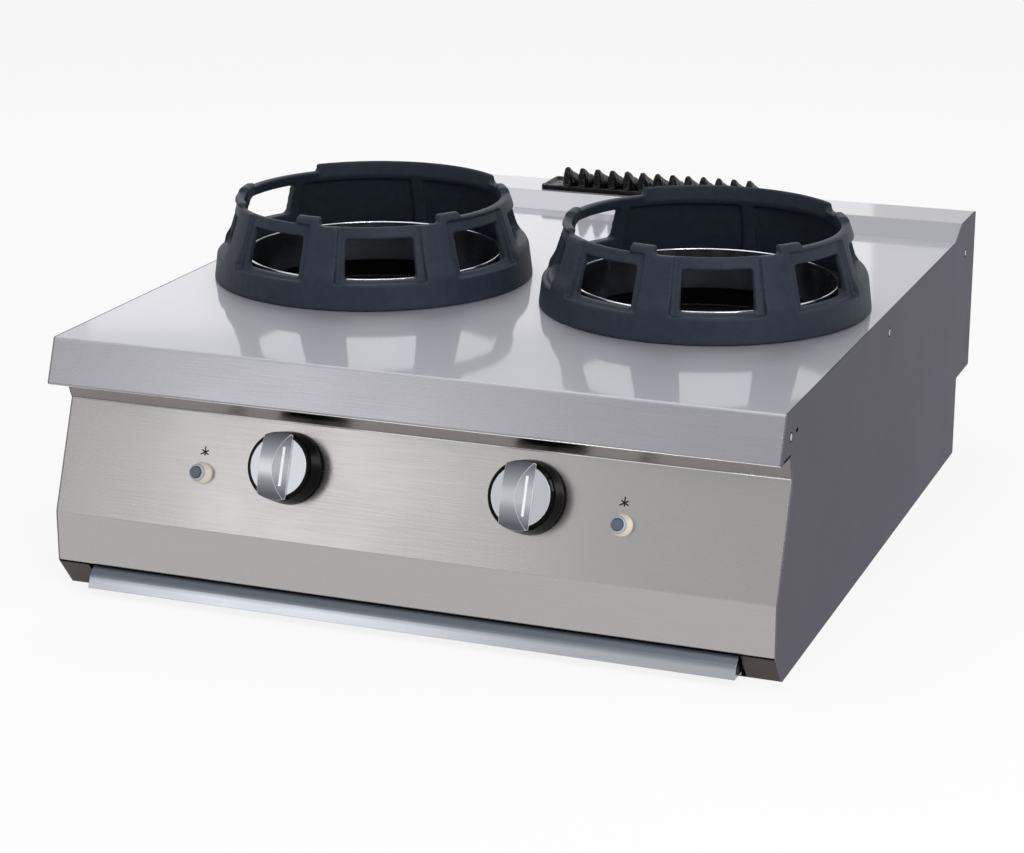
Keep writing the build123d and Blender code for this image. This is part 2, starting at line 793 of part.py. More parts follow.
for side, sign in sides.items():
    face = panel_plane(sign * knob_x, knob_height)

    with BuildPart() as gas_tap:
        with BuildSketch(face.offset(-sheet)):
            Circle(tap_flange)
        extrude(amount=-3.0)
        with BuildSketch(face.offset(-sheet)):
            Circle(tap_radius)
        extrude(amount=-(tap_length - sheet))
        with BuildSketch(face.offset(-tap_length)):
            Circle(magnet_radius)
        extrude(amount=-magnet_length)
        with BuildSketch(face.offset(port_out)):
            with Locations((0, -port_length / 2)):
                Rectangle(port_size, port_length)
            with Locations((0, outlet_length / 2)):
                Rectangle(outlet_size, outlet_length)
        extrude(amount=port_size / 2, both=True)
        with BuildSketch(face):
            Circle(stem_radius + stem_fit)
        extrude(amount=-(stem_length_in + push_travel + 1.0), mode=Mode.SUBTRACT)
        with BuildSketch(face):
            Circle(pin_radius + stem_fit)
        extrude(amount=-(pin_end + push_travel + 1.0), mode=Mode.SUBTRACT)
    save(gas_tap, f"gas_tap_{side}")

    with BuildPart() as push_pin:
        with BuildSketch(face.offset(-stem_length_in - running_gap)):
            Circle(pin_radius)
        extrude(amount=-(pin_end - stem_length_in - running_gap))
    save(push_pin, f"push_pin_{side}")

    with BuildPart() as tap_stem:
        with BuildSketch(face.offset(-stem_length_in)):
            Circle(stem_radius)
        extrude(amount=stem_length_in + stem_length_out)
        with BuildSketch(face.offset(knob_gap)):
            with Locations((0, stem_radius + stem_flat)):
                Rectangle(3 * stem_radius, 2 * stem_radius)
        extrude(amount=stem_length_out, mode=Mode.SUBTRACT)
    save(tap_stem, f"tap_stem_{side}")

    with BuildPart() as knob_body:
        with BuildSketch(Plane(origin=face.origin, x_dir=face.x_dir, z_dir=-face.y_dir)):
            with BuildLine():
                Polyline(
                    (0, knob_face - knob_shell - 1.0),
                    (0, knob_face - disc_thickness),
                    (disc_radius + 0.1, knob_face - disc_thickness),
                    (disc_radius + 0.1, knob_face),
                    (knob_radius - knob_edge, knob_face),
                    (knob_radius - knob_edge / 3, knob_face - knob_edge / 3),
                    (knob_radius, knob_face - knob_edge),
                    (skirt_radius, knob_gap + 2.0),
                    (skirt_radius, knob_gap),
                    (skirt_radius - knob_shell, knob_gap),
                    (knob_radius - knob_shell, knob_face - knob_shell - 1.0),
                    close=True,
                )
            make_face()
        revolve(axis=Axis(face.origin, face.z_dir))
        with BuildSketch(face.offset(knob_gap)):
            Circle(hub_radius)
        extrude(amount=knob_face - knob_shell - knob_gap)
        with BuildSketch(face.offset(knob_gap)):
            Circle(stem_radius + stem_fit)
            with Locations((0, stem_radius / 2 + stem_flat + stem_fit)):
                Rectangle(3 * stem_radius, stem_radius, mode=Mode.SUBTRACT)
        extrude(amount=stem_length_out - knob_gap, mode=Mode.SUBTRACT)
    save(knob_body, f"knob_body_{side}")

    # the grip: an arch across the knob, cut by a slanted face that leaves a crescent crest
    crown = face.offset(knob_face)
    crest = Vector(bar_crest, 0, bar_height)
    heel = Vector(bar_right, 0, bar_end)
    mark = crest + (heel - crest) * pointer_share
    fall = crown.from_local_coords(heel) - crown.from_local_coords(crest)
    slant = Plane(origin=crown.from_local_coords(mark), x_dir=fall, z_dir=fall.cross(crown.y_dir))
    with BuildPart() as knob_grip:
        with BuildSketch(face.offset(knob_face - disc_thickness)):
            Circle(disc_radius)
        extrude(amount=disc_thickness)
        with BuildSketch(crown):
            Circle(knob_radius - rim_gap)
            with Locations((bar_right + knob_radius, 0), (-bar_left - knob_radius, 0)):
                Rectangle(2 * knob_radius, 2 * knob_radius, mode=Mode.SUBTRACT)
        extrude(amount=bar_height)
        with BuildSketch(Plane(origin=crown.origin, x_dir=crown.y_dir, z_dir=crown.x_dir)):
            with BuildLine():
                ThreePointArc((-knob_radius, bar_end), (0, bar_height), (knob_radius, bar_end))
                Polyline(
                    (knob_radius, bar_end),
                    (knob_radius, 2 * bar_height),
                    (-knob_radius, 2 * bar_height),
                    (-knob_radius, bar_end),
                )
            make_face()
        extrude(amount=knob_radius, both=True, mode=Mode.SUBTRACT)
        with BuildSketch(slant):
            with Locations((-pointer_share * fall.length, 0)):
                Rectangle(2 * fall.length, 3 * knob_radius)
        extrude(amount=2 * bar_height, mode=Mode.SUBTRACT)
        with BuildSketch(slant):
            Rectangle(pointer_width, pointer_length)
        extrude(amount=-pointer_depth, mode=Mode.SUBTRACT)
    save(knob_grip, f"knob_grip_{side}")

    with BuildPart() as knob_pointer:
        with BuildSketch(slant.offset(-pointer_depth)):
            Rectangle(pointer_width, pointer_length)
        extrude(amount=pointer_depth - 0.1)
    save(knob_pointer, f"knob_pointer_{side}")

    # ---- igniter
    spot = panel_plane(sign * button_x, button_height)
    with BuildPart() as igniter:
        with BuildSketch(Plane(origin=spot.origin, x_dir=spot.x_dir, z_dir=-spot.y_dir)):
            with BuildLine():
                Polyline(
                    (button_radius + running_gap, -button_tail - button_travel - 1.0),
                    (button_radius + running_gap, sleeve_rise),
                    (sleeve_radius - 0.3, sleeve_rise),
                    (sleeve_radius, sleeve_rise - 0.5),
                    (sleeve_radius, 0.5),
                    (barrel_radius, 0),
                    (barrel_radius, -barrel_length),
                    (0, -barrel_length),
                    (0, -button_tail - button_travel - 1.0),
                    close=True,
                )
            make_face()
        revolve(axis=Axis(spot.origin, spot.z_dir))
    save(igniter, f"igniter_{side}")

    with BuildPart() as igniter_bezel:
        with BuildSketch(Plane(origin=spot.origin, x_dir=spot.x_dir, z_dir=-spot.y_dir)):
            with BuildLine():
                Line((sleeve_radius + fit, 0.6), (sleeve_radius + fit, bezel_rise))
                Line((sleeve_radius + fit, bezel_rise), (bezel_lip, bezel_rise))
                Spline((bezel_lip, bezel_rise), (bezel_radius - 1.4, 6.5), (bezel_radius, 2.0))
                Line((bezel_radius, 2.0), (bezel_radius, 0))
                Line((bezel_radius, 0), (barrel_radius + fit, 0))
                Line((barrel_radius + fit, 0), (sleeve_radius + fit, 0.6))
            make_face()
        revolve(axis=Axis(spot.origin, spot.z_dir))
    save(igniter_bezel, f"igniter_bezel_{side}")

    with BuildPart() as igniter_button:
        with BuildSketch(spot.offset(-button_tail)):
            Circle(button_radius)
        extrude(amount=button_tail + button_rise)
        fillet(igniter_button.faces().sort_by(Axis(spot.origin, spot.z_dir))[-1].edges(), radius=1.2)
    save(igniter_button, f"igniter_button_{side}")

with BuildPart() as igniter_nuts:
    for sign in sides.values():
        with BuildSketch(panel_plane(sign * button_x, button_height).offset(-sheet)):
            RegularPolygon(radius=nut_radius, side_count=6)
            Circle(barrel_radius + fit, mode=Mode.SUBTRACT)
        extrude(amount=-nut_thickness)
save(igniter_nuts, "igniter_nuts")

# --------------------------------------------------------------------- gas piping
header = on_panel(0, knob_height, -manifold_drop, port_out)
drop_y = header.Y + 22.0
pipe_end = step_foot[0] - sheet - nut_depth
with BuildPart() as gas_pipe:
    with BuildLine():
        route = FilletPolyline(
            (-knob_x - pipe_tail, header.Y, header.Z),
            (inlet_x, header.Y, header.Z),
            (inlet_x, drop_y, inlet_height),
            (inlet_x, pipe_end, inlet_height),
            radius=pipe_bend,
        )
    with BuildSketch(Plane(origin=route @ 0, z_dir=route % 0)):
        Circle(pipe_radius)
        Circle(pipe_bore, mode=Mode.SUBTRACT)
    sweep(path=route)
    for sign in sides.values():
        face = panel_plane(sign * knob_x, knob_height)
        with BuildSketch(face.offset(port_out)):
            with Locations((0, -(port_length + manifold_drop) / 2)):
                Rectangle(port_size + 4.0, manifold_drop - port_length)
        extrude(amount=port_size / 2 + 1.0, both=True)
        with BuildSketch(Plane.YZ.offset(sign * knob_x - port_size)):
            with Locations((header.Y, header.Z)):
                Circle(pipe_bore)
        extrude(amount=2 * port_size, mode=Mode.SUBTRACT)
    with BuildSketch(Plane.YZ.offset(-knob_x - pipe_tail)):
        with Locations((header.Y, header.Z)):
            RegularPolygon(radius=pipe_radius + 4.0, side_count=6)
    extrude(amount=-10.0)
save(gas_pipe, "gas_pipe")

with BuildPart() as gas_inlet:
    for start, length, radius in (
        (pipe_end, step_foot[0] - pipe_end, pipe_radius),
        (step_foot[0], nut_depth, inlet_collar),
        (step_foot[0] + nut_depth, inlet_length, pipe_radius),
    ):
        with BuildSketch(Plane.XZ.offset(-start)):
            with Locations((inlet_x, inlet_height)):
                Circle(radius)
        extrude(amount=-length)
    with BuildSketch(Plane.XZ.offset(-pipe_end)):
        with Locations((inlet_x, inlet_height)):
            Circle(pipe_bore)
    extrude(amount=-(step_foot[0] + nut_depth + inlet_length), mode=Mode.SUBTRACT)
save(gas_inlet, "gas_inlet")

for side, sign in sides.items():
    start = on_panel(sign * knob_x, knob_height, outlet_length, port_out)
    rise = on_panel(sign * knob_x, knob_height, outlet_length + feed_rise, port_out)
    jet_y = jet_face - 8.0
    with BuildPart() as feed_pipe:
        with BuildLine():
            route = FilletPolyline(
                start,
                rise,
                (sign * (station_x - feed_turn), jet_y, mixer_height),
                (sign * (station_x - jet_size / 2), jet_y, mixer_height),
                radius=feed_bend,
            )
        with BuildSketch(Plane(origin=route @ 0, z_dir=route % 0)):
            Circle(feed_radius)
        sweep(path=route)
    save(feed_pipe, f"feed_pipe_{side}")

# ------------------------------------------------------------ drip tray and runners
tray_foot = sheet + tray_floor_gap
tray_middle = (tray_front + tray_back) / 2
with BuildPart() as drip_tray:
    with BuildSketch(Plane((0, tray_middle, tray_foot))):
        RectangleRounded(tray_width, tray_back - tray_front, tray_corner)
    extrude(amount=tray_height)
    offset(amount=-tray_sheet, openings=drip_tray.faces().sort_by(Axis.Z)[-1])
save(drip_tray, "drip_tray")

handle_section = (
    (tray_front, tray_foot + 4.0),
    (tray_front, handle_top),
    (tray_front - handle_shelf, handle_top),
    (tray_front - handle_reach, handle_fold),
    (tray_front - handle_nose, handle_foot),
)
with BuildPart() as tray_handle:
    extrude(folded(handle_section, handle_sheet, radius=handle_bend), amount=handle_half, both=True)
    for sign in sides.values():
        with BuildSketch(Plane.YZ.offset(sign * handle_half)):
            with BuildLine():
                FilletPolyline(*handle_section[1:], (tray_front, handle_foot), radius=handle_bend / 2, close=True)
            make_face()
        extrude(amount=-sign * handle_sheet)
save(tray_handle, "tray_handle")

with BuildPart() as tray_runners:
    for sign in sides.values():
        start = sign * (tray_width / 2 + runner_gap)
        with BuildSketch(Plane.XZ.offset(-runner_start)):
            with BuildLine():
                Polyline(
                    (start, sheet),
                    (start + sign * runner_lip, sheet),
                    (start + sign * runner_lip, 2 * sheet),
                    (start + sign * sheet, 2 * sheet),
                    (start + sign * sheet, sheet + runner_lip),
                    (start, sheet + runner_lip),
                    close=True,
                )
            make_face()
        extrude(amount=-(tray_back - runner_start))
save(tray_runners, "tray_runners")

# ----------------------------------------------------------------- flue and grille
duct_top = upstand_height - sheet
with BuildPart() as flue_duct:
    with BuildSketch(Plane((0, flue_y, duct_top))):
        Rectangle(flue_length + 2 * duct_wall, flue_width + 2 * duct_wall)
        Rectangle(flue_length, flue_width, mode=Mode.SUBTRACT)
    extrude(amount=-flue_duct_drop)
    with BuildSketch(Plane((0, flue_y, duct_top))):
        Rectangle(flue_length + 2 * duct_flange, flue_width + 2 * duct_flange)
        Rectangle(flue_length, flue_width, mode=Mode.SUBTRACT)
    extrude(amount=-duct_wall)
save(flue_duct, "flue_duct")

grille_length = flue_length + 2 * grille_side
grille_width = flue_width + 2 * grille_edge
skirt_length = flue_length - 2 * running_gap
skirt_width = flue_width - 2 * running_gap
slot_length = skirt_width - 2 * grille_plate
fins = GridLocations(fin_pitch, 1, fin_count, 1)
with BuildPart() as flue_grille:
    with BuildSketch(Plane((0, flue_y, upstand_height))):
        RectangleRounded(grille_length, grille_width, grille_lip)
    extrude(amount=grille_rim)
    with BuildSketch(Plane((0, flue_y, upstand_height + grille_plate))):
        RectangleRounded(grille_length - 2 * grille_lip, grille_width - 2 * grille_lip, grille_lip / 2)
    extrude(amount=grille_rim, mode=Mode.SUBTRACT)
    with BuildSketch(Plane((0, flue_y, upstand_height))):
        Rectangle(skirt_length, skirt_width)
        Rectangle(skirt_length - 2 * grille_plate, slot_length, mode=Mode.SUBTRACT)
    extrude(amount=-grille_skirt)
    with BuildSketch(Plane((0, flue_y, upstand_height))):
        with GridLocations(fin_pitch, 1, fin_count - 1, 1):
            SlotOverall(slot_length, fin_pitch - fin_base, rotation=90)
    extrude(amount=grille_plate, mode=Mode.SUBTRACT)
    for x in [fin.position.X for fin in fins.locations]:
        with BuildSketch(Plane((x, flue_y + fin_foot_back, upstand_height + grille_plate))):
            SlotOverall(fin_foot_span, fin_base, rotation=90)
        with BuildSketch(Plane((x, flue_y + fin_shoulder_back, upstand_height + fin_shoulder))):
            SlotOverall(fin_shoulder_span, fin_shoulder_width, rotation=90)
        with BuildSketch(Plane((x, flue_y + fin_saddle_back, upstand_height + fin_saddle))):
            SlotOverall(fin_saddle_span, fin_saddle_width, rotation=90)
        with BuildSketch(Plane((x, flue_y + fin_ridge_back, upstand_height + fin_top))):
            SlotOverall(fin_ridge_span, fin_ridge, rotation=90)
        loft(ruled=True)
save(flue_grille, "flue_grille")
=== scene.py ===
"""Looks, light and camera for a two-ring countertop wok range.

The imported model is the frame: every piece made here is in metres, in the same axes,
+X to the right, +Y to the back and +Z up.
"""
from math import cos, radians, sin, tan

import bmesh
import bpy
import numpy as np
from mathutils import Euler, Matrix, Vector


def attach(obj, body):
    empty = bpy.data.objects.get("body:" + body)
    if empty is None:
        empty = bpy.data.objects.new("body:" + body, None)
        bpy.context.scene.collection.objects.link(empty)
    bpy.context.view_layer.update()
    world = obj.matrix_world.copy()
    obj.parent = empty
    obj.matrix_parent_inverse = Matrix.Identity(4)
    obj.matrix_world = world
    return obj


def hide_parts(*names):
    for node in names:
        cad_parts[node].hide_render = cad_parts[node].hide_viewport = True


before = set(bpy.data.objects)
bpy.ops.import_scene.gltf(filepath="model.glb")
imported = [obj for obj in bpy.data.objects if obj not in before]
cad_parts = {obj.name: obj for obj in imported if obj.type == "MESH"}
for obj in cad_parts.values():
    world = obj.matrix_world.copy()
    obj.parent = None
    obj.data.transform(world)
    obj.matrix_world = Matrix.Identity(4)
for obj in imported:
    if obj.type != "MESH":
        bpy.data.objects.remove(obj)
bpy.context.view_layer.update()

mm = 0.001

# ------------------------------------------------------------------ sizes, in mm
lean = radians(21)  # control panel, from upright
panel_head = (-402.9, 204.5)  # y and z of its upper edge
panel_tilt = Matrix.Rotation(radians(90) - lean, 4, "X")
worktop_height = 279.0
half_width = 400.0
igniter_x = 233.0
igniter_height = 144.7
knob_height = 160.0  # knob axis on the panel
disc_face = 29.0  # face of the knob's disc above the panel
star_height = 165.5  # middle of the printed spark symbol
fascia_fold = 89.0  # fold between the upright fascia and the leaning panel
lip_fold = 277.0  # where the worktop's front lip turns into its flat top
handle_fold = 20.0  # fold of the tray's handle
lip_edge = (-449.1, 231.8)  # y and z of the lip's lower edge
wok_rings = {"left": (-200.0, -50.0), "right": (200.0, -50.0)}
collar_edge = (146.6, 26.6)  # radius and height over the worktop of the collar's rolled edge
bead_radius = 1.3  # of the collar's rolled edge
screw_places = ((-415.5, 251.7), (-8.3, 253.8), (396.6, 253.8))  # y and z on each side
screw_radius = 3.8
screw_rim = 1.5  # width of the dark gap round a screw
lip_slot = ((-396.5, 253), (-391.5, 253), 3.6)  # both ends, y and z, and the width
lip_seam = ((-438, 233), (-416, 233), 2)
film = 0.05  # thickness of what is printed, and of a shadow gap
# silicone boot: radius and height over the panel, anticlockwise
boot_profile = ((6.4, 11.8), (9.0, 11.8), (8.9, 12.8), (8.1, 14.6), (7.5, 15.4), (6.9, 15.6), (6.4, 15.2))
scratch_length = 60.0  # of the brushing on a sheet
cloud_size = 140.0  # patches on a sheet where it was wiped
lump_spacing = 6.0  # of the lumps in the grille's skin


def on_panel(x, height, out=0.0):
    """Place on the control panel's outside, and a distance out from it."""
    y = panel_head[0] - (panel_head[1] - height) * tan(lean)
    return np.array([x, y - out * cos(lean), height + out * sin(lean)])


# ---------------------------------------------------------------------- materials
def linear(hex_code):
    """Linear RGBA from an sRGB hex value: c/12.92 below 0.04045, else ((c+0.055)/1.055)^2.4."""
    srgb = [int(hex_code[i:i + 2], 16) / 255 for i in (1, 3, 5)]
    return [c / 12.92 if c <= 0.04045 else ((c + 0.055) / 1.055) ** 2.4 for c in srgb] + [1.0]


def put(tree, kind, inputs=None, **settings):
    """Add a node with its settings, and values or links on its inputs; returns its outputs.

    An input or output is named, or numbered where names repeat: 0, 6 and 7 of a colour mix
    are its factor and two colours, and output 2 is its result.
    """
    node = tree.nodes.new(kind)
    for name, value in settings.items():
        setattr(node, name, value)
    for key, value in (inputs or {}).items():
        if isinstance(value, bpy.types.NodeSocket):
            tree.links.new(value, node.inputs[key])
        else:
            node.inputs[key].default_value = value
    return node.outputs


def blank(name):
    """A new material and its node tree, which is empty."""
    material = bpy.data.materials.new(name)
    material.use_nodes = True
    material.node_tree.nodes.clear()
    return material, material.node_tree


def shade(tree, inputs):
    """Finish a material's tree with one Principled shader."""
    shader = put(tree, "ShaderNodeBsdfPrincipled", inputs)[0]
    put(tree, "ShaderNodeOutputMaterial", {"Surface": shader})


def darker(color, share):
    """RGBA with its red, green and blue multiplied by a share."""
    return [c * share for c in color[:3]] + [1.0]


def brushed(
    name, color, rough, grain, grit, depth=0.05, cloud=0.03, coat=0.0, graze=None, above=None, lower=None
):
    """Rolled and brushed stainless steel.

    Its grain is noise stretched along one axis, 0 to 2: scratches of one grit width across
    the grain, which spread the highlight, on faint cloudy patches where the sheet was
    wiped. Above a level, given with a spread and a colour, the tone changes to that colour,
    and the sheet below the level can have its own roughness and no coat.
    """
    material, tree = blank(name)
    spot = put(tree, "ShaderNodeTexCoord")["Object"]
    scale = [1 / (grit * mm)] * 3
    scale[grain] = 1 / (scratch_length * mm)
    stretched = put(tree, "ShaderNodeMapping", {"Vector": spot, "Scale": scale})[0]
    scratches = put(tree, "ShaderNodeTexNoise", {"Vector": stretched, "Scale": 1.0, "Detail": 3.0})[0]
    patches = put(
        tree, "ShaderNodeTexNoise", {"Vector": spot, "Scale": 1 / (cloud_size * mm), "Detail": 2.0}
    )[0]
    lines = put(tree, "ShaderNodeMapRange", {
        "Value": scratches, "From Min": 0.35, "From Max": 0.65, "To Min": -0.03, "To Max": 0.03
    })[0]
    dulled = put(tree, "ShaderNodeMapRange", {
        "Value": patches, "From Min": 0.3, "From Max": 0.7, "To Min": rough - cloud, "To Max": rough + cloud
    })[0]
    roughness = put(tree, "ShaderNodeMath", {0: lines, 1: dulled}, operation="ADD")[0]
    base = linear(color)
    share = put(tree, "ShaderNodeMapRange", {"Value": scratches, "From Min": 0.35, "From Max": 0.65})[0]
    tone = put(tree, "ShaderNodeMix", {0: share, 6: darker(base, 0.96), 7: base}, data_type="RGBA")[2]
    if above:
        level, spread, upper = above
        height = put(tree, "ShaderNodeSeparateXYZ", {"Vector": spot})["Z"]
        raised = put(tree, "ShaderNodeMapRange", {
            "Value": height, "From Min": (level - spread) * mm, "From Max": (level + spread) * mm
        })[0]
        tone = put(tree, "ShaderNodeMix", {0: raised, 6: tone, 7: linear(upper)}, data_type="RGBA")[2]
        if lower:
            change = put(tree, "ShaderNodeMapRange", {
                "Value": raised, "To Min": lower - rough, "To Max": 0
            })[0]
            roughness = put(tree, "ShaderNodeMath", {0: roughness, 1: change}, operation="ADD")[0]
            coat = put(tree, "ShaderNodeMapRange", {"Value": raised, "To Max": coat})[0]
    rounded = put(tree, "ShaderNodeBevel", {"Radius": 0.8 * mm}, samples=4)[0]
    relief = {"Height": scratches, "Strength": depth, "Distance": 0.02 * mm, "Normal": rounded}
    tint = {"Specular Tint": linear(graze)} if graze else {}
    shade(tree, {
        "Metallic": 1.0, "Base Color": tone, "Roughness": roughness, "Coat Weight": coat,
        "Coat Roughness": 0.07, "Normal": put(tree, "ShaderNodeBump", relief)[0], **tint,
    })
    return material


def cast(name, color, pale, rough, grit, bump_depth, specular=0.3):
    """Sand-cast iron.

    The sand of the mould leaves grains of one grit size on a slower swell of about
    twelve grits, which also turns the colour from dark to pale.
    """
    material, tree = blank(name)
    spot = put(tree, "ShaderNodeTexCoord")["Object"]
    grains = put(tree, "ShaderNodeTexNoise", {"Vector": spot, "Scale": 1 / (grit * mm), "Detail": 4.0})[0]
    swell = put(
        tree, "ShaderNodeTexNoise", {"Vector": spot, "Scale": 1 / (12 * grit * mm), "Detail": 3.0}
    )[0]
    share = put(tree, "ShaderNodeMapRange", {"Value": swell, "From Min": 0.35, "From Max": 0.65})[0]
    tone = put(tree, "ShaderNodeMix", {0: share, 6: linear(color), 7: linear(pale)}, data_type="RGBA")[2]
    roughness = put(tree, "ShaderNodeMapRange", {
        "Value": grains, "From Min": 0.3, "From Max": 0.7, "To Min": rough - 0.07, "To Max": rough + 0.07
    })[0]
    height = put(tree, "ShaderNodeMath", {0: swell, 1: 0.8, 2: grains}, operation="MULTIPLY_ADD")[0]
    relief = {"Height": height, "Strength": bump_depth, "Distance": 0.3 * mm}
    shade(tree, {
        "Base Color": tone, "Roughness": roughness, "Specular IOR Level": specular,
        "Normal": put(tree, "ShaderNodeBump", relief)[0],
    })
    return material


def moulded(name, color, rough, coat=0.0, edge=0.5, specular=0.5):
    """Moulded, enamelled or painted skin: a swell of 0.8 mm, like orange peel, and soft edges."""
    material, tree = blank(name)
    spot = put(tree, "ShaderNodeTexCoord")["Object"]
    swell = put(tree, "ShaderNodeTexNoise", {"Vector": spot, "Scale": 1 / (0.8 * mm), "Detail": 2.0})[0]
    base = linear(color)
    tone = put(tree, "ShaderNodeMix", {0: swell, 6: darker(base, 0.93), 7: base}, data_type="RGBA")[2]
    roughness = put(tree, "ShaderNodeMapRange", {
        "Value": swell, "To Min": rough - 0.03, "To Max": rough + 0.03
    })[0]
    rounded = put(tree, "ShaderNodeBevel", {"Radius": edge * mm}, samples=4)[0]
    relief = {"Height": swell, "Strength": 0.05, "Distance": 0.02 * mm, "Normal": rounded}
    shade(tree, {
        "Base Color": tone, "Roughness": roughness, "Specular IOR Level": specular, "Coat Weight": coat,
        "Coat Roughness": 0.05, "Normal": put(tree, "ShaderNodeBump", relief)[0],
    })
    return material


def lacquered(name, color, ends, wear_and_highlight, rough):
    """Metallic lacquer on the knobs, with a painted highlight along its edges.

    On the bar a painted shade darkens the tone from its middle to both ends, as u, the
    distance up the panel from the knob's axis, grows from 6 to 30 mm; w, the distance out
    from the panel, tells the bar from the disc. The painted highlight's mask is where the
    rounded normal leaves the face's own.
    """
    material, tree = blank(name)
    spot = put(tree, "ShaderNodeTexCoord")["Object"]
    up, out = (0, sin(lean), cos(lean)), (0, -cos(lean), sin(lean))
    middle = on_panel(0, knob_height) * mm
    u = put(tree, "ShaderNodeVectorMath", {0: spot, 1: up}, operation="DOT_PRODUCT")["Value"]
    w = put(tree, "ShaderNodeVectorMath", {0: spot, 1: out}, operation="DOT_PRODUCT")["Value"]
    off = put(tree, "ShaderNodeMath", {0: u, 1: float(middle @ up)}, operation="SUBTRACT")[0]
    off = put(tree, "ShaderNodeMath", {0: off}, operation="ABSOLUTE")[0]
    far = put(tree, "ShaderNodeMapRange", {"Value": off, "From Min": 6 * mm, "From Max": 30 * mm})[0]
    face = float(middle @ out) + disc_face * mm
    bar = put(tree, "ShaderNodeMapRange", {
        "Value": w, "From Min": face + 0.1 * mm, "From Max": face + 0.3 * mm
    })[0]
    # painted shade: the bar's tone darkens from its middle towards both ends
    painted_shade = put(tree, "ShaderNodeMath", {0: far, 1: bar}, operation="MULTIPLY")[0]
    tone = put(tree, "ShaderNodeMix", {0: painted_shade, 6: linear(color), 7: linear(ends)}, data_type="RGBA")[2]
    speck = put(tree, "ShaderNodeTexNoise", {"Vector": spot, "Scale": 1 / (0.25 * mm), "Detail": 2.0})[0]
    fleck = put(tree, "ShaderNodeMapRange", {"Value": speck, "To Max": 0.12})[0]
    tone = put(tree, "ShaderNodeMix", {0: fleck, 6: tone, 7: (0.02, 0.02, 0.02, 1)}, data_type="RGBA")[2]
    rounded = put(tree, "ShaderNodeBevel", {"Radius": 0.7 * mm}, samples=6)[0]
    own = put(tree, "ShaderNodeNewGeometry")["Normal"]
    same = put(tree, "ShaderNodeVectorMath", {0: rounded, 1: own}, operation="DOT_PRODUCT")["Value"]
    # painted highlight: a pale tone along the edges
    edge = put(tree, "ShaderNodeMapRange", {
        "Value": same, "From Min": 0.975, "From Max": 0.998, "To Min": 1, "To Max": 0
    })[0]
    tone = put(tree, "ShaderNodeMix", {0: edge, 6: tone, 7: linear(wear_and_highlight)}, data_type="RGBA")[2]
    shade(tree, {"Metallic": 0.95, "Roughness": rough, "Base Color": tone, "Normal": rounded})
    return material


# stainless sheet, satin brushed along the front: a soft sheen that still mirrors what is
# near, with a paler upright foot below its fold: a painted reflection, the same sheet in a
# lighter tone
front_steel = brushed(
    "brushed stainless steel", "#b0acac", 0.25, 0, 0.5, depth=0.03, above=(fascia_fold, 1, "#999696")
)
# the same sheet behind the lip, kept glossier under its film, and painted darker: painted shade under the
# lip
recess_steel = brushed("bright stainless steel", "#878180", 0.26, 0, 0.5, depth=0.02)
# the same sheet on the sides, brushed from front to back, dull when seen along it, and painted darker than
# the front: painted shade on the sides
side_steel = brushed("brushed stainless steel sides", "#706f76", 0.34, 1, 0.5, graze="#b4b3b9")
# the worktop: on its flat top a clear film over satin steel, so its mirror image is sharp
# but faint; its front lip is brushed and bare, and takes up the light in a long gradient
top_steel = brushed(
    "filmed stainless steel", "#97969c", 0.62, 0, 0.5, depth=0.02, cloud=0.02, coat=0.8,
    above=(lip_fold, 1, "#a7a7b0"), lower=0.27,
)
# the upstand: the same film over a greyer sheet
upstand_steel = brushed(
    "filmed stainless upstand", "#9c9ca3", 0.62, 0, 0.5, depth=0.02, cloud=0.02, coat=0.8
)
# spun collar: satin, with faint upright bands; its rolled edge is polished, and painted much paler than the
# collar: a painted highlight
spun_steel = brushed("spun stainless steel", "#8b929e", 0.24, 2, 18, depth=0.0, cloud=0.01)
# cut and folded edges of sheet: a bright line, a painted highlight in a steel much paler than the sheet's
edge_highlight_steel = brushed("bright folded edge", "#ece8e8", 0.3, 0, 0.6, depth=0.0)
polished_highlight_steel = brushed("polished stainless steel", "#e6eaf0", 0.12, 2, 0.6, depth=0.0, cloud=0.01)
# polished tray handle: painted reflections, the one sheet darker and bluish above its fold and bright below
handle_steel = brushed(
    "polished handle steel", "#a2a5ac", 0.22, 0, 0.6, depth=0.02, cloud=0.02,
    above=(handle_fold, 3.5, "#5f656e"),
)
# underside and foot: dull dark sheet
foot_steel = brushed("dull stainless steel", "#45403e", 0.45, 0, 0.8)
# electro-galvanised steel inside the cabinet: plain grey, neither bright nor dull
zinc_steel = brushed("galvanised steel", "#9a9c9e", 0.45, 0, 1.5)
# small stainless screws, dulled by cleaning
screw_steel = brushed("dull screw steel", "#b6b6bc", 0.35, 1, 0.8)
# grey cast iron under matt blue-black enamel: dark with a soft sheen and a grainy skin
enamelled_iron = cast("enamelled cast iron", "#242b36", "#282f3b", 0.52, 0.9, 0.25, specular=0.18)
# the grille's iron: blacker and glossier, with coarse lumps in its skin
grille_iron = cast("black enamelled cast iron", "#050607", "#0b0c0f", 0.34, 2.2, 1.0, specular=0.2)
# bare cast iron burners: dull and nearly black from heat
burner_iron = cast("bare cast iron", "#100f0f", "#1c1a19", 0.6, 0.8, 0.4)
# black vitreous enamel in the wells: deep black with a gloss
well_enamel = moulded("black vitreous enamel", "#050505", 0.2, specular=0.35)
# machined brass jets and fittings: warm yellow with a satin lathe finish
machined_brass = brushed("machined brass", "#b8955a", 0.3, 1, 0.4)
# glazed ceramic insulator: off-white with a wet gloss
glazed_ceramic = moulded("glazed alumina", "#ddd8cc", 0.25, coat=0.5)
# phenolic knob body: deep gloss black
black_phenolic = moulded("black phenolic", "#020203", 0.12, coat=0.09, edge=0.8, specular=0.03)
